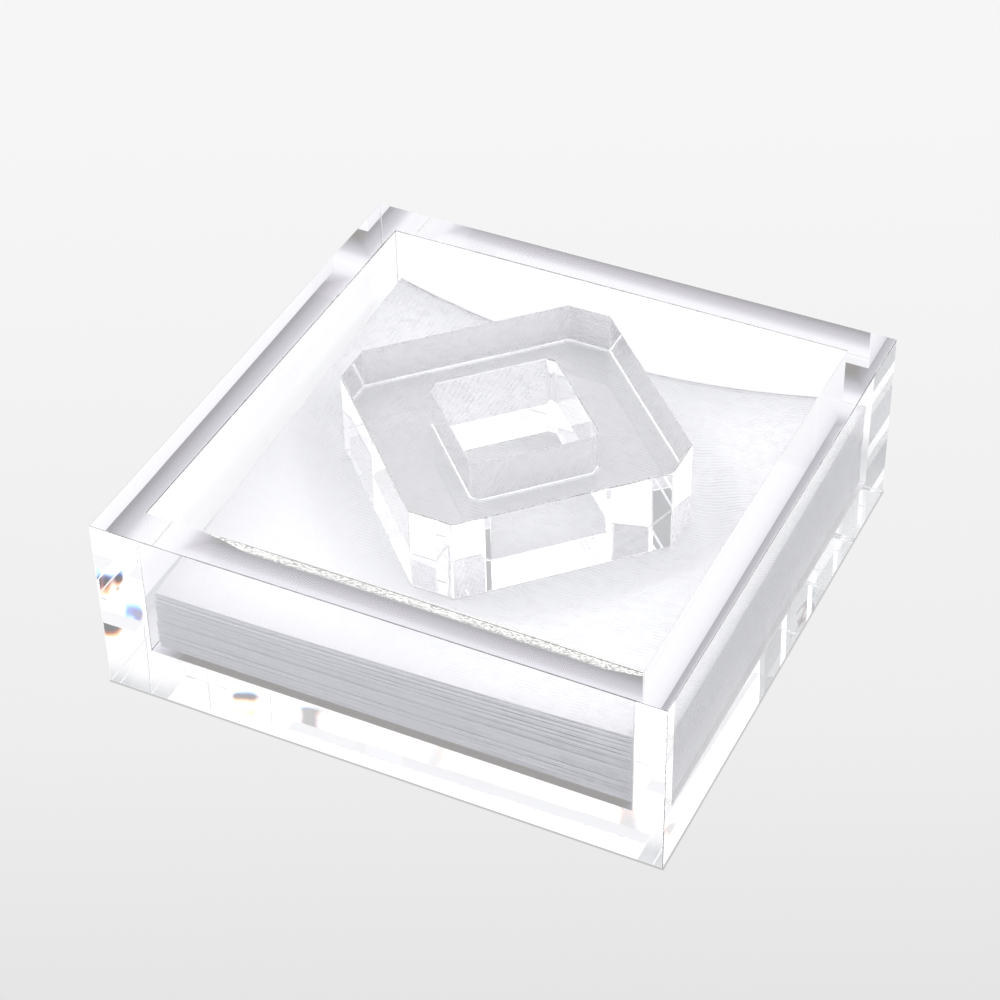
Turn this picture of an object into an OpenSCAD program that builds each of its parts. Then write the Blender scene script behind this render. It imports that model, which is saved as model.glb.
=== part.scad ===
// Clear acrylic napkin holder: an open square tray of five bonded slabs, a pile of
// quarter-folded paper napkins, and a clear block that lies on the pile and holds it down.
// The origin is the centre of the tray's underside. X runs along the front, Y to the back.

/* [Tray] */
// Height of the tray, from its underside to its rim
tray_h = 51; // [44:1:80]
// Thickness of the four walls
wall_t = 10; // [5:0.5:12]
// Thickness of the base slab
base_t = 10; // [6:0.5:16]
// Room between a napkin's edge and the wall beside it
napkin_clearance = 1.5; // [1:0.1:4]

/* [Napkins] */
// Number of napkins in the pile
napkin_count = 20; // [8:1:24]
// Side of one napkin, folded in four
napkin_side = 127; // [120:1:165]
// Thickness of one napkin where the weight presses it
napkin_t = 0.75; // [0.4:0.05:0.9]
// Air left between two napkins, and under and over the pile
napkin_gap = 0.1; // [0.05:0.05:0.15]
// How far the pile's highest corner stands above its pressed middle
corner_rise = 9.5; // [0:0.5:12]
// How far the pile lies behind the middle of the tray
pile_back = 0.8; // [0:0.1:0.9]

/* [Weight] */
// Height of the weight
weight_h = 24; // [12:1:30]
// Width of the weight from one clipped point to the opposite one
weight_across = 92; // [70:1:96]
// Width of the flat face that clips each point
weight_tip = 12; // [6:1:24]
// Width of the weight's four bars
weight_bar = 20; // [14:1:28]
// How far the weight lies to the left of the middle of the tray
weight_left = 2; // [0:0.5:6]
// How far the weight lies behind the middle of the tray
weight_back = 7.5; // [0:0.5:9]

/* [Hidden] */
// Clear side of the square well between the walls, and the tray's outer side
well_side = napkin_side + 2 * napkin_clearance;
tray_side = well_side + 2 * wall_t;
// Height of the walls, which stand on the base slab
wall_h = tray_h - base_t;
// Overrun of a cut past the face that it opens
cut = 1;
// From one napkin's underside to the next one's, where the pile is pressed flat
napkin_pitch = napkin_t + napkin_gap;
// Height of the pile's lowest napkin, and of the weight's underside, above the table
pile_z = base_t + napkin_gap;
weight_z = pile_z + napkin_count * napkin_pitch;
// Half the weight's width, and half the diagonal that its slanted sides would reach
weight_half = weight_across / 2;
weight_diagonal = weight_half + weight_tip / 2;
// Half the diagonal of the square window, whose sides lie one bar inside the slanted sides
window_diagonal = weight_diagonal - weight_bar * sqrt(2);

// The pile's rise at the left, middle and right of its front, middle and back rows
rise_shares = [[0.12, 0.22, 0.5], [0.59, 0, 0.65], [1, 0, 0.95]];
// The pile starts to rise at the first of these shares of the weight's outline, and stands
// free of the weight at the second
pressed_share = 1.17;
free_share = 1.5;
// The power that rounds the corners of the pressed outline
outline_power = 6;
// The points along each side of a napkin, from one corner up to the next
side_shares = [-1, -0.75, -0.5, -0.25, 0, 0.25, 0.5, 0.75];
// The rings of points from the pressed outline out to the napkin's edge
ring_shares = [0, 0.5, 1];
// The pressed outline stays this share of the way out from the weight's middle, or less
inmost_share = 0.94;

// Three values at -1, 0 and 1, joined by a parabola
function through_three(values, s) =
    values[0] * s * (s - 1) / 2 + values[1] * (1 - s * s) + values[2] * s * (s + 1) / 2;

// The rise that the table gives at a place, before the weight presses the pile flat
function free_rise(p) =
    let (
        u = 2 * p[0] / napkin_side,
        v = 2 * (p[1] - pile_back) / napkin_side
    )
    corner_rise * through_three([for (row = rise_shares) through_three(row, u)], v);

// How far out a place lies from the weight's middle, where the weight's outline is at 1
function outline_reach(p) =
    let (
        across = abs(p[0] - weight_middle[0]) / weight_half,
        along = abs(p[1] - weight_middle[1]) / weight_half,
        slant = (across + along) * weight_half / weight_diagonal
    )
    pow(pow(slant, outline_power) + pow(across, outline_power) + pow(along, outline_power),
        1 / outline_power);

// 0 where the weight presses, 1 where the pile stands free, with a soft bend between
function freed(p) =
    let (s = (outline_reach(p) - pressed_share) / (free_share - pressed_share))
    s <= 0 ? 0 : s >= 1 ? 1 : s * s * (3 - 2 * s);

weight_middle = [-weight_left, weight_back];

// A napkin's edge, once round and counterclockwise from above, from its front left corner
half_side = napkin_side / 2;
edge_points = [
    for (turn = [0:3]) for (s = side_shares)
        let (
            along = [[s, -1], [1, s], [-s, 1], [-1, -s]][turn] * half_side
        )
        [along[0], along[1] + pile_back]
];
ring_count = len(ring_shares);
edge_count = len(edge_points);
layer_count = ring_count * edge_count;

// The same edge drawn in to a ring between the pressed outline and the edge
function ring_point(p, ring_share) =
    let (inner_share = min(inmost_share, pressed_share / outline_reach(p)))
    weight_middle + (p - weight_middle) * (inner_share + ring_share * (1 - inner_share));

pile_points = [for (r = ring_shares) for (p = edge_points) ring_point(p, r)];
pile_rises = [for (p = pile_points) free_rise(p) * freed(p)];

// One layer of points, at a height and with a share of the whole pile's rise
function layer(z, rise_share) = [
    for (i = [0:layer_count - 1])
        [pile_points[i][0], pile_points[i][1], z + rise_share * pile_rises[i]]
];

// A triangle seen from below, or turned to be seen from above
function facing(upward, a, b, c) = upward ? [a, c, b] : [a, b, c];

// The skin over a layer: a flat middle inside the first ring, then bands from ring to ring
function skin(first, upward) = concat(
    [for (i = [1:edge_count - 2]) facing(upward, first, first + i, first + i + 1)],
    [
        for (r = [1:ring_count - 1]) for (i = [0:edge_count - 1])
            let (
                a = first + (r - 1) * edge_count + i,
                b = first + (r - 1) * edge_count + (i + 1) % edge_count,
                c = a + edge_count,
                d = b + edge_count
            )
            each [facing(upward, a, c, b), facing(upward, b, c, d)]
    ]
);

// The edge of a napkin, between the outer rings of its lower and upper layers
outer_ring = layer_count - edge_count;
edge_faces = [
    for (i = [0:edge_count - 1])
        let (
            a = outer_ring + i,
            b = outer_ring + (i + 1) % edge_count
        )
        each [[a, b + layer_count, b], [a, a + layer_count, b + layer_count]]
];

function two_digits(n) = str(n < 10 ? "0" : "", n);
function napkin_name(n) = str("napkin_", two_digits(n));

module clear_acrylic() color([0.9, 0.94, 0.96, 0.4]) children();
module white_paper() color([0.96, 0.96, 0.97]) children();

// A slab with its underside's middle at the origin
module slab(w, d, h) translate([-w / 2, -d / 2, 0]) cube([w, d, h]);

// The slab that the four walls stand on
module base_plate()
    clear_acrylic() slab(tray_side, tray_side, base_t);

// A wall over the whole width, with its middle at a given y
module cross_wall(y)
    clear_acrylic() translate([0, y, base_t]) slab(tray_side, wall_t, wall_h);

// A wall between the front and the rear one, with its middle at a given x
module side_wall(x)
    clear_acrylic() translate([x, 0, base_t]) slab(wall_t, well_side, wall_h);

module front_wall() cross_wall((wall_t - tray_side) / 2);
module rear_wall() cross_wall((tray_side - wall_t) / 2);
module left_wall() side_wall((wall_t - tray_side) / 2);
module right_wall() side_wall((tray_side - wall_t) / 2);

// A square on its point, given half its diagonal
module diamond(half_diagonal)
    polygon([[half_diagonal, 0], [0, half_diagonal], [-half_diagonal, 0], [0, -half_diagonal]]);

// The block that holds the pile down: a thick square ring on its point, with clipped points
module weight()
    clear_acrylic() translate([weight_middle[0], weight_middle[1], weight_z])
        difference() {
            linear_extrude(weight_h) intersection() {
                diamond(weight_diagonal);
                square([weight_across, weight_across], center = true);
            }
            translate([0, 0, -cut])
                linear_extrude(weight_h + 2 * cut) diamond(window_diagonal);
        }

// One folded napkin, the nth from the bottom, bent with the pile at its height
module napkin(n) {
    low_z = pile_z + (n - 1) * napkin_pitch;
    low_share = (n - 1) / napkin_count;
    high_share = low_share + napkin_t / napkin_pitch / napkin_count;
    white_paper() polyhedron(
        points = concat(layer(low_z, low_share), layer(low_z + napkin_t, high_share)),
        faces = concat(skin(0, false), skin(layer_count, true), edge_faces)
    );
}

base_plate();
front_wall();
rear_wall();
left_wall();
right_wall();
weight();
for (n = [1:napkin_count]) napkin(n);
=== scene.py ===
"""A clear acrylic napkin holder with its napkins and its weight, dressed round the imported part.

Every length is in metres, in the part's own frame: the origin is the middle of the tray's
underside, X runs along the front, Y to the back and Z up.
"""

import logging
import math
from dataclasses import dataclass, field
from enum import Enum

import bpy
import numpy as np
from mathutils import Matrix, Vector

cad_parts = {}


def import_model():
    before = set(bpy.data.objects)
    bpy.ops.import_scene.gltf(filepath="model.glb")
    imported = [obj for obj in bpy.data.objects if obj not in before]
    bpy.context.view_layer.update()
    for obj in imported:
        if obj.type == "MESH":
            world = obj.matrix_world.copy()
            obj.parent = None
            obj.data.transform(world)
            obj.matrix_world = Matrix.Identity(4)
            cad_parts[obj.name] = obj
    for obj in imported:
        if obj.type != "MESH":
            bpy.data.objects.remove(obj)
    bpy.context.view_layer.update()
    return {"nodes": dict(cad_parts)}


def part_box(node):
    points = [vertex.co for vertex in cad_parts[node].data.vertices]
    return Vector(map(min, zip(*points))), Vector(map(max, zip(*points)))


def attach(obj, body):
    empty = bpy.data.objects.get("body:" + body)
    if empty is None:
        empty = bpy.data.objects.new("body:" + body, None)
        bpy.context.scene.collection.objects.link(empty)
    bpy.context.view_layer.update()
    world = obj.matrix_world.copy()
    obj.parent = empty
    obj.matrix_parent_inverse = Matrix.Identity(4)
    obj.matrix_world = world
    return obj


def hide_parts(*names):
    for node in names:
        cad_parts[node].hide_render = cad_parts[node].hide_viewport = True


MM = 0.001
LOG = logging.getLogger("napkin_holder")
SHARP_ANGLE = math.radians(25)
EDGE_SEGMENTS = 3
EDGE_SLOT = 1
SQUARE = ((-1, -1), (1, -1), (1, 1), (-1, 1))
SMOOTH = {"interpolation_type": "SMOOTHSTEP"}


class Fold(Enum):
    """The side of a folded napkin on which its second fold lies."""

    LEFT = -1
    RIGHT = 1


class Emboss(Enum):
    """The pattern that the embossing roll leaves in a napkin."""

    RIBBED = "ribbed"
    WAFFLE = "waffle"


def linear(hex_code: str) -> tuple[float, float, float, float]:
    """Turn an sRGB colour into the linear one that a shader takes.

    Args:
        hex_code: six hex digits, red first.

    Returns:
        Linear red, green and blue, and an alpha of 1.
    """
    shares = (int(hex_code[i : i + 2], 16) / 255 for i in (0, 2, 4))
    return (*(c / 12.92 if c <= 0.04045 else ((c + 0.055) / 1.055) ** 2.4 for c in shares), 1.0)


def add_node(tree: bpy.types.NodeTree, kind: str, settings: dict, inputs: dict) -> bpy.types.Node:
    """Add one node, with its settings and whatever feeds its sockets.

    Args:
        tree: the node tree that takes the node.
        kind: Blender's name of the node type.
        settings: the node's own properties, by name.
        inputs: what feeds each input, by name or by number: a value, an output socket, or a
            node that stands for its first output.

    Returns:
        The new node.
    """
    node = tree.nodes.new(kind)
    for name, value in settings.items():
        setattr(node, name, value)
    for key, value in inputs.items():
        if isinstance(value, bpy.types.Node):
            value = value.outputs[0]
        if isinstance(value, bpy.types.NodeSocket):
            tree.links.new(value, node.inputs[key])
        else:
            node.inputs[key].default_value = value
    return node


def empty_material(name: str) -> tuple[bpy.types.Material, bpy.types.NodeTree]:
    """Make a material whose node tree is empty, and return both."""
    material = bpy.data.materials.new(name)
    material.use_nodes = True
    material.node_tree.nodes.clear()
    return material, material.node_tree


def grid_quads(rows: int, columns: int, wrap_rows: bool, wrap_columns: bool) -> np.ndarray:
    """Join the points of a grid by quads.

    Corner (r, c) of the grid is joined to (r, c+1), (r+1, c+1) and (r+1, c), so a face looks
    along the cross product of the column direction and the row direction.

    Args:
        rows: number of rows of points.
        columns: number of points in a row.
        wrap_rows: whether the last row joins the first.
        wrap_columns: whether a row's last point joins its first.

    Returns:
        One row of four point numbers for each quad.
    """
    row = np.arange(rows if wrap_rows else rows - 1)[:, None]
    column = np.arange(columns if wrap_columns else columns - 1)[None, :]
    below, beside = (row + 1) % rows, (column + 1) % columns
    corners = (
        row * columns + column,
        row * columns + beside,
        below * columns + beside,
        below * columns + column,
    )
    return np.stack(corners, axis=-1).reshape(-1, 4)


def new_piece(name: str, points: np.ndarray, faces: list) -> bpy.types.Object:
    """Make a piece at the origin from points in the part's frame.

    Args:
        name: the piece's name.
        points: any array whose last axis is x, y and z.
        faces: lists of point numbers, counterclockwise from outside.

    Returns:
        The new object, linked to the scene.
    """
    mesh = bpy.data.meshes.new(name)
    mesh.from_pydata(points.reshape(-1, 3).tolist(), [], faces)
    mesh.validate()
    piece = bpy.data.objects.new(name, mesh)
    bpy.context.scene.collection.objects.link(piece)
    return piece


def carried_outline(outlines: list, heights: list) -> np.ndarray:
    """Stack outlines of equal point counts at their heights, as rows of a grid.

    Args:
        outlines: one array of x and y for each row.
        heights: one height for each row.

    Returns:
        An array of rows, points and x, y, z.
    """
    flat = np.stack(outlines)
    z = np.broadcast_to(np.array(heights)[:, None, None], (*flat.shape[:2], 1))
    return np.concatenate([flat, z], axis=-1)


def dress_acrylic(
    piece: bpy.types.Object, faces: bpy.types.Material, edges: bpy.types.Material, width: float
) -> None:
    """Ease an acrylic piece's sharp edges, and give its faces and its eased edges a finish.

    Args:
        piece: the piece to finish.
        faces: the finish of its faces.
        edges: the finish of its eased edges.
        width: width of an eased edge.
    """
    piece.data.materials.append(faces)
    piece.data.materials.append(edges)
    bevel = piece.modifiers.new("eased_edges", "BEVEL")
    bevel.width = width
    bevel.segments = EDGE_SEGMENTS
    bevel.limit_method = "ANGLE"
    bevel.angle_limit = SHARP_ANGLE
    bevel.use_clamp_overlap = True
    bevel.material = EDGE_SLOT


@dataclass(frozen=True)
class ClearAcrylic:
    """Acrylic plastic (PMMA): clear, glossy, and bent a little by waves of its surface."""

    name: str
    tint: str
    roughness: float
    wave_length: float
    wave_height: float
    wave_detail: float
    ior: float = 1.49

    def material(self) -> bpy.types.Material:
        """Build the finish: a clear shader whose normal wanders with noise."""
        material, tree = empty_material(self.name)
        place = add_node(tree, "ShaderNodeTexCoord", {}, {}).outputs["Object"]
        grain = {"Vector": place, "Scale": 1 / self.wave_length, "Detail": self.wave_detail}
        waves = add_node(tree, "ShaderNodeTexNoise", {}, grain)
        relief = {"Height": waves, "Strength": 1.0, "Distance": self.wave_height}
        bump = add_node(tree, "ShaderNodeBump", {}, relief)
        clear = {
            "Base Color": linear(self.tint),
            "Roughness": self.roughness,
            "IOR": self.ior,
            "Transmission Weight": 1.0,
            "Normal": bump,
        }
        shader = add_node(tree, "ShaderNodeBsdfPrincipled", {}, clear)
        add_node(tree, "ShaderNodeOutputMaterial", {}, {"Surface": shader})
        return material


@dataclass(frozen=True)
class PolishedAcrylic(ClearAcrylic):
    """Cast acrylic sheet, diamond-polished on its faces.

    It gives clear, colourless depth with mirror-like inner faces. Cast sheet is never quite
    flat, so what shows through it wanders a little.
    """

    name: str = "polished_cast_acrylic"
    tint: str = "FEFEFF"
    roughness: float = 0.0
    wave_length: float = 34 * MM
    wave_height: float = 0.04 * MM
    wave_detail: float = 1.0


@dataclass(frozen=True)
class ScrapedEdge(ClearAcrylic):
    """The edge of an acrylic sheet, eased with a scraper and flame-polished.

    The scraper leaves fine ripples along the edge, which catch the light as a bright,
    slightly broken line.
    """

    name: str = "scraped_acrylic_edge"
    tint: str = "FDFDFB"
    roughness: float = 0.06
    wave_length: float = 0.9 * MM
    wave_height: float = 0.05 * MM
    wave_detail: float = 2.0


@dataclass(frozen=True)
class TrappedCement:
    """Solvent cement along a bonded joint, where the slabs' margins didn't quite close.

    It gives a bright, speckled thread inside the clear plastic: tiny bubbles lying in a row,
    drawn coarser than real ones so that they show, with clear places between them. The bubbles
    carry a weak painted glow, in place of the light that they would catch. The joint stands open
    at open_y, and from closed_y on it is full of cement.
    """

    name: str = "trapped_cement"
    tint: str = "FFFFFC"
    bubble_size: float = 0.36 * MM
    stretch: float = 0.5
    clear_below: float = 0.4
    white_above: float = 0.55
    least_cover: float = 0.2
    back_share: float = 0.5
    # Strength of the painted glow on the bubbles, in place of the light that they would catch
    painted_glow: float = 0.3
    open_y: float = 0.0
    closed_y: float = 1.0

    def material(self) -> bpy.types.Material:
        """Build the finish: white bubbles and clear gaps, from noise drawn out along X."""
        material, tree = empty_material(self.name)
        place = add_node(tree, "ShaderNodeTexCoord", {}, {}).outputs["Object"]
        stretched = {"Vector": place, "Scale": (self.stretch, 1.0, 1.0)}
        drawn = add_node(tree, "ShaderNodeMapping", {}, stretched)
        grain = {"Vector": drawn, "Scale": 1 / self.bubble_size, "Detail": 2.0}
        bubbles = add_node(tree, "ShaderNodeTexNoise", {}, grain)
        levels = {0: bubbles, 1: self.clear_below, 2: self.white_above, 3: self.least_cover}
        cover = add_node(tree, "ShaderNodeMapRange", SMOOTH, levels)
        y = add_node(tree, "ShaderNodeSeparateXYZ", {}, {0: place}).outputs["Y"]
        ends = {0: y, 1: self.open_y, 2: self.closed_y}
        closed = add_node(tree, "ShaderNodeMapRange", SMOOTH, ends)
        shown = add_node(tree, "ShaderNodeMath", {"operation": "MULTIPLY"}, {0: cover, 1: closed})
        tint = linear(self.tint)
        through = add_node(tree, "ShaderNodeBsdfTranslucent", {}, {"Color": tint})
        back = add_node(tree, "ShaderNodeBsdfDiffuse", {}, {"Color": tint})
        both = add_node(tree, "ShaderNodeMixShader", {}, {0: self.back_share, 1: through, 2: back})
        # A weak painted glow on the bubbles: an emission, though the cement is no lamp
        glow = {"Color": tint, "Strength": self.painted_glow}
        painted_glow_shader = add_node(tree, "ShaderNodeEmission", {}, glow)
        lit = add_node(tree, "ShaderNodeAddShader", {}, {0: both, 1: painted_glow_shader})
        clear = add_node(tree, "ShaderNodeBsdfTransparent", {}, {})
        mix = add_node(tree, "ShaderNodeMixShader", {}, {0: shown, 1: clear, 2: lit})
        add_node(tree, "ShaderNodeOutputMaterial", {}, {"Surface": mix})
        return material


@dataclass(frozen=True)
class EmbossedTissue:
    """White cellulose tissue, ply-bonded and embossed between rolls.

    It gives a soft matt white with fine raised ribs, crossed to a waffle on one part and
    pressed nearly flat at one corner. The roll presses unevenly, so the ribs come and go in
    small patches. Loose fibres, drawn coarser than real ones so that they show, break the
    light up.
    """

    name: str = "embossed_tissue"
    tint: str = "F3F3F6"
    rib_pitch: float = 1.05 * MM
    cross_pitch: float = 1.3 * MM
    emboss_height: float = 0.05 * MM
    patch_size: float = 2.6 * MM
    patch_levels: tuple[float, float] = (0.35, 0.65)
    patch_shares: tuple[float, float] = (0.3, 1.7)
    wander_size: float = 18 * MM
    wander_turns: float = 14.0
    fibre_size: float = 0.5 * MM
    fibre_share: float = 1.2
    waffle_from: tuple[float, float] = (-5 * MM, -35 * MM)
    worn_to: tuple[float, float] = (-75 * MM, -10 * MM)
    worn_share: float = 0.25
    roughness: float = 0.95
    gloss: float = 0.2
    emboss: Emboss = Emboss.WAFFLE

    def material(self) -> bpy.types.Material:
        """Build the finish: sines for the ribs, masks that wear them down, and fibre noise."""
        material, tree = empty_material(self.name)
        place = add_node(tree, "ShaderNodeTexCoord", {}, {}).outputs["Object"]
        axes = add_node(tree, "ShaderNodeSeparateXYZ", {}, {0: place})
        x, y = axes.outputs["X"], axes.outputs["Y"]
        slow = {"Vector": place, "Scale": 1 / self.wander_size, "Detail": 1.0}
        wander = add_node(tree, "ShaderNodeTexNoise", {}, slow)
        height = self.rib_wave(tree, y, wander, self.rib_pitch)
        if self.emboss is Emboss.WAFFLE:
            cross = self.rib_wave(tree, x, wander, self.cross_pitch)
            start, end = self.waffle_from
            share = add_node(tree, "ShaderNodeMapRange", SMOOTH, {0: x, 1: start, 2: end})
            crossed = {0: cross, 1: share, 2: height}
            height = add_node(tree, "ShaderNodeMath", {"operation": "MULTIPLY_ADD"}, crossed)
        corner = add_node(tree, "ShaderNodeMath", {"operation": "ADD"}, {0: x, 1: y})
        start, end = self.worn_to
        worn = {0: corner, 1: start, 2: end, 3: self.worn_share}
        kept = add_node(tree, "ShaderNodeMapRange", SMOOTH, worn)
        coarse = {"Vector": place, "Scale": 1 / self.patch_size, "Detail": 2.0}
        patches = add_node(tree, "ShaderNodeTexNoise", {}, coarse)
        levels = dict(enumerate((patches, *self.patch_levels, *self.patch_shares)))
        pressed = add_node(tree, "ShaderNodeMapRange", {}, levels)
        left = add_node(tree, "ShaderNodeMath", {"operation": "MULTIPLY"}, {0: kept, 1: pressed})
        height = add_node(tree, "ShaderNodeMath", {"operation": "MULTIPLY"}, {0: height, 1: left})
        fine = {"Vector": place, "Scale": 1 / self.fibre_size, "Detail": 4.0, "Roughness": 0.7}
        fibres = add_node(tree, "ShaderNodeTexNoise", {}, fine)
        rough = {0: fibres, 1: self.fibre_share, 2: height}
        height = add_node(tree, "ShaderNodeMath", {"operation": "MULTIPLY_ADD"}, rough)
        relief = {"Height": height, "Strength": 1.0, "Distance": self.emboss_height}
        bump = add_node(tree, "ShaderNodeBump", {}, relief)
        matt = {
            "Base Color": linear(self.tint),
            "Roughness": self.roughness,
            "Specular IOR Level": self.gloss,
            "Normal": bump,
        }
        shader = add_node(tree, "ShaderNodeBsdfPrincipled", {}, matt)
        add_node(tree, "ShaderNodeOutputMaterial", {}, {"Surface": shader})
        return material

    def rib_wave(
        self,
        tree: bpy.types.NodeTree,
        along: bpy.types.NodeSocket,
        wander: bpy.types.Node,
        pitch: float,
    ) -> bpy.types.Node:
        """A sine with a rib every pitch, led off its line by slow noise.

        Args:
            tree: the node tree.
            along: the coordinate across the ribs.
            wander: slow noise that bends them.
            pitch: distance from rib to rib.

        Returns:
            The node that gives the wave.
        """
        turns = add_node(
            tree, "ShaderNodeMath", {"operation": "MULTIPLY"}, {0: along, 1: math.tau / pitch}
        )
        led = {0: wander, 1: self.wander_turns, 2: turns}
        phase = add_node(tree, "ShaderNodeMath", {"operation": "MULTIPLY_ADD"}, led)
        return add_node(tree, "ShaderNodeMath", {"operation": "SINE"}, {0: phase})


@dataclass(frozen=True)
class PaleFloor:
    """A lit product table: a seamless sheet of matt pale plastic.

    Seen directly it is an even pale grey, painted lighter to the back and a little to the left,
    with no shadow but a painted hairline of shade where the tray meets it. Through the acrylic
    its own light shows, with painted square rings of light and shade under the tray: a painted
    shadow under the pile, and the rings that thick walls throw under themselves. The levels give
    the painted shade at places along the way to the light, and the rings give it at their reach
    from the middle, both in millimetres.
    """

    name: str = "lit_pale_table"
    lit_from: tuple[float, float] = (-0.446, 0.895)
    near: float = -200 * MM
    far: float = 300 * MM
    levels: tuple = ((-140, "E5E5E5"), (-52, "EEEEEE"), (98, "F3F3F3"), (230, "F6F6F6"))
    glow: float = 1.2
    # Where the painted hairline of shade starts and ends, and how much light it leaves
    contact: tuple[float, float] = (75.05 * MM, 75.5 * MM)
    contact_share: float = 0.64
    left_clear: tuple[float, float, float] = (88 * MM, 90 * MM, 96 * MM)
    ring_reach: float = 100 * MM
    back_shift: float = 2.2 * MM
    # Painted light and shade under the tray: the dark stops under the pile are its painted shadow,
    # and the rings further out are the walls' painted light and shade
    rings: tuple = (
        (38, "E5E5E5"),
        (49, "959391"),
        (60, "888582"),
        (62.5, "9A999D"),
        (64, "AFADB4"),
        (66.5, "C4C2C8"),
        (68, "D8D7DE"),
        (70, "E3E3E7"),
        (73, "E7E7EA"),
        (78, "E5E5E6"),
        (84, "D3D4D6"),
        (90, "CDCED0"),
        (94, "E7E7E7"),
        (98, "F2F2F5"),
    )

    def reach(
        self, tree: bpy.types.NodeTree, x: bpy.types.NodeSocket, y: bpy.types.NodeSocket
    ) -> bpy.types.Node:
        """How far out among the rings a place lies, by the larger of its two coordinates.

        The rings lie a little further back behind the tray, and beyond the left ones the
        table is clear.

        Args:
            tree: the node tree.
            x: the place's x.
            y: the place's y.

        Returns:
            The node that gives the reach.
        """
        start, end, clear = self.left_clear
        ends = {0: x, 1: -start, 2: -end, 3: 0.0, 4: clear}
        left = add_node(tree, "ShaderNodeMapRange", {}, ends)
        aside = add_node(tree, "ShaderNodeMath", {"operation": "ABSOLUTE"}, {0: x})
        across = add_node(tree, "ShaderNodeMath", {"operation": "MAXIMUM"}, {0: aside, 1: left})
        to_front = add_node(tree, "ShaderNodeMath", {"operation": "MULTIPLY"}, {0: y, 1: -1.0})
        behind = {0: y, 1: self.back_shift}
        to_back = add_node(tree, "ShaderNodeMath", {"operation": "SUBTRACT"}, behind)
        both = {0: to_front, 1: to_back}
        along = add_node(tree, "ShaderNodeMath", {"operation": "MAXIMUM"}, both)
        return add_node(tree, "ShaderNodeMath", {"operation": "MAXIMUM"}, {0: across, 1: along})

    def material(self) -> bpy.types.Material:
        """Build the finish: a painted glow with a slow gradient seen directly, and painted rings of
        shade seen through the tray.
        """
        material, tree = empty_material(self.name)
        place = add_node(tree, "ShaderNodeTexCoord", {}, {}).outputs["Object"]
        axes = add_node(tree, "ShaderNodeSeparateXYZ", {}, {0: place})
        x, y = axes.outputs["X"], axes.outputs["Y"]
        along_x, along_y = self.lit_from
        sideways = add_node(tree, "ShaderNodeMath", {"operation": "MULTIPLY"}, {0: x, 1: along_x})
        terms = {0: y, 1: along_y, 2: sideways}
        backwards = add_node(tree, "ShaderNodeMath", {"operation": "MULTIPLY_ADD"}, terms)
        ramps = []
        # One ramp paints the gradient seen directly, the other paints the rings of light and shade
        # under the tray
        for way, start, end, stops in (
            (backwards, self.near, self.far, self.levels),
            (self.reach(tree, x, y), 0.0, self.ring_reach, self.rings),
        ):
            share = add_node(tree, "ShaderNodeMapRange", {}, {0: way, 1: start, 2: end})
            ramp = add_node(tree, "ShaderNodeValToRGB", {}, {0: share})
            elements = ramp.color_ramp.elements
            while len(elements) < len(stops):
                elements.new(1.0)
            for element, (spot, shade) in zip(elements, stops):
                element.position = (spot * MM - start) / (end - start)
                element.color = linear(shade)
            ramps.append(ramp)
        shaded, ringed = ramps
        # A painted hairline of shade along the tray's footprint
        aside = add_node(tree, "ShaderNodeMath", {"operation": "ABSOLUTE"}, {0: x})
        aback = add_node(tree, "ShaderNodeMath", {"operation": "ABSOLUTE"}, {0: y})
        close = add_node(tree, "ShaderNodeMath", {"operation": "MAXIMUM"}, {0: aside, 1: aback})
        start, end = self.contact
        line = {0: close, 1: start, 2: end, 3: self.contact_share}
        contact = add_node(tree, "ShaderNodeMapRange", SMOOTH, line)
        direct = add_node(tree, "ShaderNodeEmission", {}, {"Color": shaded, "Strength": contact})
        glowing = {"Color": ringed, "Strength": self.glow}
        through = add_node(tree, "ShaderNodeEmission", {}, glowing)
        # Camera rays see the painted gradient and hairline, other rays see the painted rings
        ray = add_node(tree, "ShaderNodeLightPath", {}, {}).outputs["Is Camera Ray"]
        mix = add_node(tree, "ShaderNodeMixShader", {}, {0: ray, 1: through, 2: direct})
        add_node(tree, "ShaderNodeOutputMaterial", {}, {"Surface": mix})
        return material


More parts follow.
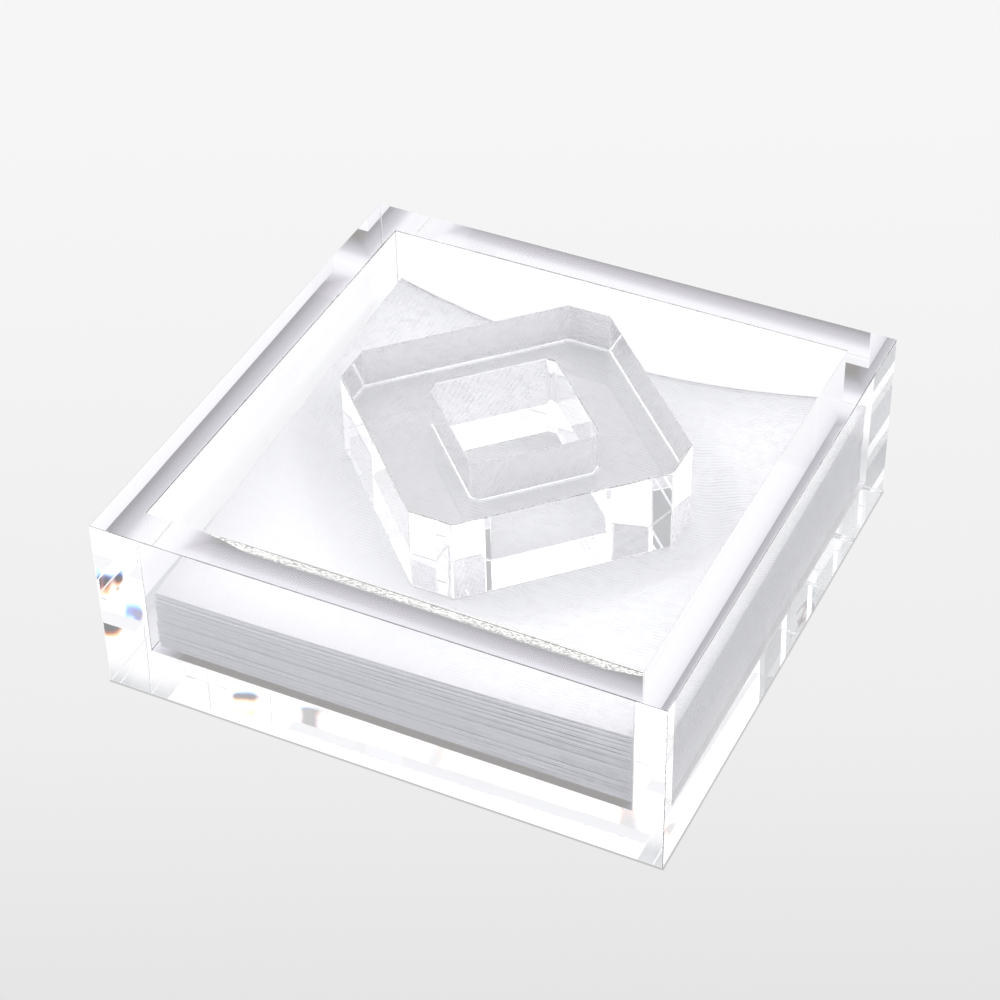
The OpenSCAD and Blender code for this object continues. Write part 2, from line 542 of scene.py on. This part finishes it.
@dataclass(frozen=True)
class TentSky:
    """The soft white tent round the table, with the room's dark gear behind its few gaps.

    The tent is brightest at the back left and dimmer towards the camera. A gap shows only
    where the acrylic happens to send the eye to it, as a small dark spot with a blue and an
    orange fringe, because acrylic bends blue light a little more than red. Each gap is given
    by its azimuth from the back to the right, its elevation and its radius, in degrees, and
    by the share of light that it takes. The slopes say how the red, green and blue light grow
    along X, Y and Z.
    """

    name: str = "soft_tent"
    strength: float = 1.5
    level: float = 0.6
    slopes: tuple = ((-0.17, -0.06, 0.5), (-0.17, -0.08, 0.5), (-0.16, -0.1, 0.51))
    gaps: tuple = (
        (37.25, 41.15, 0.25, 0.9),
        (37.45, 41.92, 0.28, 0.85),
        (36.9, 41.92, 0.18, 0.6),
        (33.65, 43.86, 0.32, 0.7),
        (-28.5, 45.25, 0.22, 0.32),
        (-22.6, 46.7, 0.3, 0.4),
        (-22.0, 51.8, 0.45, 0.5),
        (-160.6, 55.4, 0.9, 0.4),
        (35.2, 59.1, 1.0, 0.35),
        (-29.7, 46.6, 0.16, 0.7),
        (-31.1, 45.5, 0.25, 0.5),
        (-32.0, 44.45, 0.3, 0.6),
        (-162.7, 42.2, 0.3, 0.8),
        (-178.0, 45.3, 0.4, 0.5),
        (-18.0, 48.0, 0.8, 0.3),
        (-165.0, 46.0, 30.0, 0.66),
    )
    soft_share: float = 0.35
    fringe: float = math.radians(0.055)
    ragged: float = 0.003
    ragged_scale: float = 80.0

    @staticmethod
    def towards(azimuth: float, elevation: float) -> tuple[float, float, float]:
        """The unit vector at an azimuth from the back to the right and an elevation, in degrees."""
        turn, lift = math.radians(azimuth), math.radians(elevation)
        return (
            math.sin(turn) * math.cos(lift),
            math.cos(turn) * math.cos(lift),
            math.sin(lift),
        )

    def channel(
        self, tree: bpy.types.NodeTree, look: bpy.types.Node, slope: tuple, offset: float
    ) -> bpy.types.Node:
        """Work out one colour channel: a slow slope of light, times a soft spot for each gap.

        Args:
            tree: the world's node tree.
            look: the direction of sight.
            slope: how the light grows along X, Y and Z.
            offset: how far the channel sees the gaps displaced upwards.

        Returns:
            The node that gives the channel's light.
        """
        slopes = {0: look, 1: slope}
        dot = add_node(tree, "ShaderNodeVectorMath", {"operation": "DOT_PRODUCT"}, slopes)
        terms = {0: dot.outputs["Value"], 1: self.level}
        light = add_node(tree, "ShaderNodeMath", {"operation": "ADD"}, terms)
        shift = {0: look, 1: (0, 0, offset)}
        bent = add_node(tree, "ShaderNodeVectorMath", {"operation": "ADD"}, shift)
        for azimuth, elevation, radius, depth in self.gaps:
            ends = {0: bent, 1: self.towards(azimuth, elevation)}
            away = add_node(tree, "ShaderNodeVectorMath", {"operation": "DISTANCE"}, ends)
            rim = math.radians(radius)
            fade = {0: away.outputs["Value"], 1: rim * self.soft_share, 2: rim, 3: 1 - depth}
            spot = add_node(tree, "ShaderNodeMapRange", SMOOTH, fade)
            lit = {0: light, 1: spot}
            light = add_node(tree, "ShaderNodeMath", {"operation": "MULTIPLY"}, lit)
        return light

    def world(self) -> bpy.types.World:
        """Build the sky from its three channels, with the gaps' edges made ragged by noise."""
        world = bpy.data.worlds.new(self.name)
        world.use_nodes = True
        tree = world.node_tree
        tree.nodes.clear()
        place = add_node(tree, "ShaderNodeTexCoord", {}, {}).outputs["Generated"]
        grain = {"Vector": place, "Scale": self.ragged_scale, "Detail": 1.0}
        waver = add_node(tree, "ShaderNodeTexNoise", {}, grain).outputs[1]
        half = {0: waver, 1: (0.5, 0.5, 0.5)}
        centred = add_node(tree, "ShaderNodeVectorMath", {"operation": "SUBTRACT"}, half)
        ragged = {0: centred, 1: (self.ragged,) * 3, 2: place}
        look = add_node(tree, "ShaderNodeVectorMath", {"operation": "MULTIPLY_ADD"}, ragged)
        channels = [
            self.channel(tree, look, slope, offset)
            for slope, offset in zip(self.slopes, (self.fringe, 0.0, -self.fringe))
        ]
        colour = add_node(tree, "ShaderNodeCombineColor", {}, dict(enumerate(channels)))
        light = {"Color": colour, "Strength": self.strength}
        sky = add_node(tree, "ShaderNodeBackground", {}, light)
        add_node(tree, "ShaderNodeOutputWorld", {}, {"Surface": sky})
        return world


@dataclass
class BondedTray:
    """The tray: a base slab and four walls of cast acrylic, bonded into one clear body."""

    outer_half: float
    inner_half: float
    height: float
    floor_height: float
    edge_width: float = 0.24 * MM
    name: str = "bonded_tray"
    nodes: tuple = ("base_plate", "front_wall", "rear_wall", "left_wall", "right_wall")

    @classmethod
    def from_frame(cls) -> "BondedTray":
        """Take the tray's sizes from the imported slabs."""
        _, base_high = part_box("base_plate")
        wall_low, wall_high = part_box("right_wall")
        return cls(base_high.x, wall_low.x, wall_high.z, base_high.z)

    def build(self) -> bpy.types.Object:
        """Carry the profile of wall and rim once round the square, and cap both ends."""
        corners = np.array(SQUARE, float)
        halves = [self.outer_half, self.outer_half, self.inner_half, self.inner_half]
        heights = [0, self.height, self.height, self.floor_height]
        points = carried_outline([corners * half for half in halves], heights)
        quads = grid_quads(len(halves), len(corners), wrap_rows=False, wrap_columns=True)
        underside = [3, 2, 1, 0]
        well_floor = [12, 13, 14, 15]
        return new_piece(self.name, points, quads.tolist() + [underside, well_floor])

    def dress(
        self, piece: bpy.types.Object, faces: bpy.types.Material, edges: bpy.types.Material
    ) -> None:
        """Ease the edges, give the finishes and set the piece on its body.

        Args:
            piece: the tray's piece.
            faces: the finish of its faces.
            edges: the finish of its eased edges.
        """
        dress_acrylic(piece, faces, edges, self.edge_width)
        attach(piece, "tray")
        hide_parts(*self.nodes)


@dataclass
class CementSeam:
    """The thread of trapped cement in the joint of base and front wall, at its inner margin."""

    half_length: float
    inner_y: float
    z: float
    width: float = 2.8 * MM
    taper: float = 22 * MM
    steps: int = 120
    inset: float = 0.15 * MM
    thickness: float = 0.04 * MM
    least_share: float = 0.02
    wanders: tuple = ((0.05, 5 * MM), (0.04, 1.7 * MM))
    name: str = "cement_seam"

    @classmethod
    def from_tray(cls, tray: BondedTray) -> "CementSeam":
        """Take the seam's place from the tray's well."""
        return cls(tray.inner_half, -tray.inner_half, tray.floor_height)

    def build(self) -> bpy.types.Object:
        """Carry a flat strip along the joint, tapering to nothing at its left and right ends.

        The strip's width at x is the whole width times a smooth step of the distance to the
        nearer end over the taper, and its outer margin wanders by two slow sines.
        """
        x = np.linspace(-self.half_length, self.half_length, self.steps)
        s = np.clip((self.half_length - np.abs(x)) / self.taper, self.least_share, 1)
        wander = 1 + sum(share * np.sin(x / length) for share, length in self.wanders)
        width = self.width * s * s * (3 - 2 * s) * wander
        inner = np.full_like(x, self.inner_y - self.inset)
        outer = inner - width
        low, high = np.full_like(x, self.z - self.thickness), np.full_like(x, self.z)
        rows = ((inner, low), (outer, low), (outer, high), (inner, high))
        points = np.stack([np.stack([x, y, z], axis=-1) for y, z in rows], axis=1)
        last = len(rows) * (self.steps - 1)
        caps = [[3, 2, 1, 0], [last, last + 1, last + 2, last + 3]]
        quads = grid_quads(self.steps, len(rows), wrap_rows=False, wrap_columns=True)
        return new_piece(self.name, points, quads[:, ::-1].tolist() + caps)

    def finish(self) -> TrappedCement:
        """The cement's finish, thinning out over the outer half of the strip."""
        return TrappedCement(
            open_y=self.inner_y - self.inset - self.width,
            closed_y=self.inner_y - self.inset - self.width / 2,
        )

    def dress(self, piece: bpy.types.Object, cement: bpy.types.Material) -> None:
        """Give the finish and set the piece on the tray's body.

        Args:
            piece: the seam's piece.
            cement: its finish.
        """
        piece.data.materials.append(cement)
        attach(piece, "tray")


@dataclass
class DiamondWeight:
    """The weight: a square ring of thick acrylic on its point, with its points clipped.

    The corners of its window are clipped a little too, as a cutter leaves them.
    """

    middle: tuple[float, float]
    half: float
    bottom: float
    top: float
    tip: float = 12 * MM
    bar: float = 20 * MM
    corner_clip: float = 1.2 * MM
    edge_width: float = 0.4 * MM
    name: str = "diamond_weight"

    @classmethod
    def from_frame(cls) -> "DiamondWeight":
        """Take the weight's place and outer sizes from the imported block."""
        low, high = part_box("weight")
        middle = ((low.x + high.x) / 2, (low.y + high.y) / 2)
        return cls(middle, (high.x - low.x) / 2, low.z, high.z)

    def outline(self, half: float, clip: float) -> np.ndarray:
        """A square on its point with each point clipped: eight corners, counterclockwise.

        Args:
            half: distance from the middle to each clipped face.
            clip: half the width of a clipped face.

        Returns:
            An array of eight rows of x and y.
        """
        quarter = np.array([[half, -clip], [half, clip]])
        turns = [np.array([[c, -s], [s, c]]) for c, s in ((1, 0), (0, 1), (-1, 0), (0, -1))]
        return np.concatenate([quarter @ turn.T for turn in turns]) + np.array(self.middle)

    def build(self) -> bpy.types.Object:
        """Carry the bar's square section once round the ring, between its two outlines."""
        diagonal = self.half + self.tip / 2
        window = diagonal - self.bar * math.sqrt(2) - self.corner_clip
        outer = self.outline(self.half, self.tip / 2)
        inner = self.outline(window, self.corner_clip)
        outlines = [outer, outer, inner, inner]
        heights = [self.bottom, self.top, self.top, self.bottom]
        points = carried_outline(outlines, heights)
        quads = grid_quads(len(outlines), len(outer), wrap_rows=True, wrap_columns=True)
        return new_piece(self.name, points, quads.tolist())

    def dress(
        self, piece: bpy.types.Object, faces: bpy.types.Material, edges: bpy.types.Material
    ) -> None:
        """Ease the edges, give the finishes and set the piece on its body.

        Args:
            piece: the weight's piece.
            faces: the finish of its faces.
            edges: the finish of its eased edges.
        """
        dress_acrylic(piece, faces, edges, self.edge_width)
        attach(piece, "weight")
        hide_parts("weight")


@dataclass(frozen=True)
class PileForm:
    """The form of the pile: pressed flat under the weight, risen towards its free corners.

    The thickness, the gap, the rise and all shares are those of the part's own source, so
    that each folded napkin follows its solid.
    """

    side: float
    back: float
    bottom: float
    count: int
    weight_middle: tuple[float, float]
    weight_half: float
    weight_diagonal: float
    napkin_t: float = 0.75 * MM
    gap: float = 0.1 * MM
    corner_rise: float = 9.5 * MM
    rise_shares: tuple = ((0.12, 0.22, 0.5), (0.59, 0.0, 0.65), (1.0, 0.0, 0.95))
    pressed_share: float = 1.17
    free_share: float = 1.5
    outline_power: float = 6.0

    @staticmethod
    def through_three(values: tuple, s: np.ndarray) -> np.ndarray:
        """The parabola that takes three values at -1, 0 and 1."""
        return values[0] * s * (s - 1) / 2 + values[1] * (1 - s * s) + values[2] * s * (s + 1) / 2

    def freed(self, x: np.ndarray, y: np.ndarray) -> np.ndarray:
        """How free the pile stands: 0 under the weight, 1 well outside it, a smooth step between.

        The distance is a soft maximum, by powers, of the way across, along and on the slant
        to the weight's clipped outline.

        Args:
            x: places along the front.
            y: places to the back.

        Returns:
            Shares from 0 to 1, one for each place.
        """
        across = np.abs(x - self.weight_middle[0]) / self.weight_half
        along = np.abs(y - self.weight_middle[1]) / self.weight_half
        slant = (across + along) * self.weight_half / self.weight_diagonal
        power = self.outline_power
        reach = (slant**power + across**power + along**power) ** (1 / power)
        s = np.clip((reach - self.pressed_share) / (self.free_share - self.pressed_share), 0, 1)
        return s * s * (3 - 2 * s)

    def rise(self, x: np.ndarray, y: np.ndarray) -> np.ndarray:
        """The whole pile's rise over its pressed middle: parabolas through the table of shares.

        Args:
            x: places along the front.
            y: places to the back.

        Returns:
            Heights, one for each place.
        """
        u, v = 2 * x / self.side, 2 * (y - self.back) / self.side
        rows = tuple(self.through_three(row, u) for row in self.rise_shares)
        return self.corner_rise * self.through_three(rows, v) * self.freed(x, y)


@dataclass
class FoldedNapkin:
    """One napkin: a square sheet folded in half to the front and again to one side.

    The sheet's two flat directions each run from one edge to a fold and on to the other edge.
    A ply's height is the product of the two folds, so the four plies stay one unbroken sheet.
    Where the pile stands free, the sheet may undulate in waves along X and Y, whose phases
    grow with the napkin's number.
    """

    number: int
    form: PileForm
    shift: tuple[float, float]
    turn: float
    loft: float
    flat_steps: int = 22
    fold_steps: int = 6
    ply_t: float = 0.09 * MM
    fold: Fold = Fold.LEFT
    undulation: float = 0.0
    wave_lengths: tuple[float, float] = (11 * MM, 14 * MM)
    wave_phases: tuple[float, float] = (2.1, 1.47)

    @property
    def name(self) -> str:
        """The piece's name."""
        return f"folded_napkin_{self.number:02d}"

    @property
    def node(self) -> str:
        """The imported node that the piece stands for."""
        return f"napkin_{self.number:02d}"

    def across_fold(self) -> tuple[np.ndarray, np.ndarray]:
        """Walk over the sheet from edge to edge through one fold.

        Returns:
            The distance from the fold line, and the angle turned round the fold, from 0 on
            the first ply to half a turn on the second.
        """
        way = np.linspace(1, 0, self.flat_steps + 1)
        arc = np.linspace(0, np.pi, self.fold_steps + 1)[1:-1]
        distance = np.concatenate([way, np.zeros_like(arc), way[::-1]]) * self.form.side
        angle = np.concatenate([np.zeros_like(way), arc, np.full_like(way, np.pi)])
        return distance, angle

    def surface(self) -> np.ndarray:
        """Work out the middle surface of the folded sheet.

        With a the angle round the side fold and b round the front fold, a ply lies
        (1 + cos b / 2) ply pitches from the napkin's middle plane, below it for a = 0 and above
        it for a = half a turn, and the folds bulge out by the sines.

        Returns:
            An array of rows, points and x, y, z.
        """
        form = self.form
        distance, angle = self.across_fold()
        side_distance, side_angle = distance[None, :], angle[None, :]
        front_distance, front_angle = distance[:, None], angle[:, None]
        half = form.side / 2
        x = self.fold.value * (half - side_distance) + 0 * front_distance
        y = front_distance - half + 0 * side_distance
        cosine, sine = math.cos(self.turn), math.sin(self.turn)
        place_x = x * cosine - y * sine + self.shift[0]
        place_y = x * sine + y * cosine + form.back + self.shift[1]
        rise = form.rise(place_x, place_y)
        pitch = form.napkin_t + form.gap
        low = form.bottom + (self.number - 1) * (pitch + rise / form.count)
        thick = form.napkin_t * (1 + rise / (pitch * form.count)) * self.loft
        ply = (thick - self.ply_t) / 3
        level = ply * (1 + 0.5 * np.cos(front_angle))
        out_x = self.fold.value * level * np.sin(side_angle)
        out_y = -0.5 * ply * np.sin(front_angle) + 0 * side_angle
        z = low + thick / 2 - level * np.cos(side_angle)
        wave_x, wave_y = (
            np.sin(place / length + phase * self.number)
            for place, length, phase in zip((place_x, place_y), self.wave_lengths, self.wave_phases)
        )
        z = z + self.undulation * form.freed(place_x, place_y) * wave_x * wave_y
        return np.stack(
            [place_x + out_x * cosine, place_y + out_y * cosine + out_x * sine, z], axis=-1
        )

    def build(self) -> bpy.types.Object:
        """Mesh the middle surface and give the ply its thickness."""
        points = self.surface()
        quads = grid_quads(*points.shape[:2], wrap_rows=False, wrap_columns=False)
        piece = new_piece(self.name, points, quads.tolist())
        ply = piece.modifiers.new("ply_thickness", "SOLIDIFY")
        ply.thickness = self.ply_t
        ply.offset = 0.0
        return piece

    def dress(self, piece: bpy.types.Object, tissue: bpy.types.Material, under: str) -> None:
        """Give the finish and set the piece on its body.

        Args:
            piece: the napkin's piece.
            tissue: its finish.
            under: the name of the piece that it lies on; not used.
        """
        piece.data.materials.append(tissue)
        piece.data.polygons.foreach_set("use_smooth", np.ones(len(piece.data.polygons), bool))
        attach(piece, "top_napkin" if self.number == self.form.count else "pile")
        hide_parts(self.node)


@dataclass
class NapkinPile:
    """The pile: folded napkins, each a little out of line with the next.

    Low napkins are nearly full in loft, and higher ones may be thinner. The top one has a
    finer grid, and undulates where it stands free.
    """

    form: PileForm
    seed: int = 7
    shift_most: tuple[float, float] = (0.05 * MM, 0.38 * MM)
    turn_most: float = math.radians(0.09)
    loft_low: float = 0.84
    loft_high: float = 0.55
    top_steps: int = 60
    top_undulation: float = 0.15 * MM

    @classmethod
    def from_frame(cls, weight: DiamondWeight, nodes: dict) -> "NapkinPile":
        """Take the pile's place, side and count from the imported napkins.

        Args:
            weight: the weight that presses the pile.
            nodes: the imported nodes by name.

        Returns:
            The pile.
        """
        low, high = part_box("napkin_01")
        count = sum(name.startswith("napkin_") for name in nodes)
        form = PileForm(
            side=high.x - low.x,
            back=(high.y + low.y) / 2,
            bottom=low.z,
            count=count,
            weight_middle=weight.middle,
            weight_half=weight.half,
            weight_diagonal=weight.half + weight.tip / 2,
        )
        return cls(form)

    def napkins(self) -> list[FoldedNapkin]:
        """Lay out the napkins from the bottom up, with seeded shifts, turns and lofts."""
        chance = np.random.default_rng(self.seed)
        laid = []
        for number in range(1, self.form.count + 1):
            shift = tuple(chance.uniform(-1, 1, 2) * np.array(self.shift_most))
            turn = chance.uniform(-self.turn_most, self.turn_most)
            share = number / self.form.count
            least = self.loft_low + (self.loft_high - self.loft_low) * share
            loft = chance.uniform(least, 1.0)
            laid.append(FoldedNapkin(number, self.form, shift, turn, loft))
        laid[-1].flat_steps = self.top_steps
        laid[-1].undulation = self.top_undulation
        return laid


@dataclass
class Studio:
    """The floor, the sky of soft light and the camera.

    The lens and the sensor are in millimetres, as Blender takes them.
    """

    floor_half: float = 6.0
    floor_gap: float = 0.2 * MM
    lens: float = 100.23
    sensor: float = 36.0
    azimuth: float = math.radians(26.4834)
    elevation: float = math.radians(40.1408)
    roll: float = math.radians(-1.1482)
    distance: float = 722.7 * MM
    right_shift: float = -2.73 * MM
    up_shift: float = 21.4 * MM
    near_clip: float = 10 * MM
    inner_bounces: int = 40
    matt_bounces: int = 6
    brightest_bounce: float = 4.0
    floor_finish: PaleFloor = field(default_factory=PaleFloor)
    sky: TentSky = field(default_factory=TentSky)

    def lay_floor(self) -> None:
        """Lay the floor just under the tray, as one flat square."""
        corners = np.array(SQUARE, float) * self.floor_half
        points = carried_outline([corners], [-self.floor_gap])
        floor = new_piece("floor", points, [[0, 1, 2, 3]])
        floor.data.materials.append(self.floor_finish.material())

    def light(self) -> None:
        """Light the scene from the whole sky, as a large soft tent does."""
        bpy.context.scene.world = self.sky.world()

    def set_camera(self) -> None:
        """Stand the camera at its azimuth, elevation and distance, rolled about its own axis."""
        azimuth, elevation = self.azimuth, self.elevation
        back = Vector(
            (
                math.sin(azimuth) * math.cos(elevation),
                -math.cos(azimuth) * math.cos(elevation),
                math.sin(elevation),
            )
        )
        level = Vector((0, 0, 1)).cross(back).normalized()
        upright = back.cross(level)
        right = math.cos(self.roll) * level + math.sin(self.roll) * upright
        up = math.cos(self.roll) * upright - math.sin(self.roll) * level
        place = back * self.distance + right * self.right_shift + up * self.up_shift
        lens = bpy.data.cameras.new("camera")
        lens.sensor_fit = "HORIZONTAL"
        lens.sensor_width = self.sensor
        lens.lens = self.lens
        lens.clip_start = self.near_clip
        camera = bpy.data.objects.new("camera", lens)
        bpy.context.scene.collection.objects.link(camera)
        axes = Matrix((right, up, back)).transposed().to_4x4()
        camera.matrix_world = Matrix.Translation(place) @ axes
        bpy.context.scene.camera = camera

    def set_colour(self) -> None:
        """Show colours as they are, and follow light through many inner reflections."""
        scene = bpy.context.scene
        scene.view_settings.view_transform = "Standard"
        scene.view_settings.look = "None"
        scene.cycles.max_bounces = self.inner_bounces
        scene.cycles.transmission_bounces = self.inner_bounces
        scene.cycles.glossy_bounces = self.inner_bounces
        scene.cycles.diffuse_bounces = self.matt_bounces
        scene.cycles.sample_clamp_indirect = self.brightest_bounce


def main() -> None:
    """Load the frame, build and dress each sub-assembly, and set the studio."""
    logging.basicConfig(level=logging.INFO, format="%(name)s: %(message)s")
    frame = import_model()
    studio = Studio()
    studio.set_camera()
    studio.set_colour()
    studio.light()
    studio.lay_floor()

    acrylic = PolishedAcrylic().material()
    edges = ScrapedEdge().material()
    tissue = EmbossedTissue().material()

    tray = BondedTray.from_frame()
    tray_piece = tray.build()
    tray.dress(tray_piece, acrylic, edges)
    LOG.info("%s: five slabs bonded into one body", tray.name)

    seam = CementSeam.from_tray(tray)
    seam_piece = seam.build()
    seam.dress(seam_piece, seam.finish().material())
    LOG.info("%s: along the front joint", seam.name)

    weight = DiamondWeight.from_frame()
    weight_piece = weight.build()
    weight.dress(weight_piece, acrylic, edges)
    LOG.info("%s: laid on the pile", weight.name)

    under = tray.name
    for napkin in NapkinPile.from_frame(weight, frame["nodes"]).napkins():
        piece = napkin.build()
        napkin.dress(piece, tissue, under)
        under = piece.name
        LOG.info("%s: four plies, on %s", napkin.name, napkin.node)


if __name__ == "__main__":
    main()
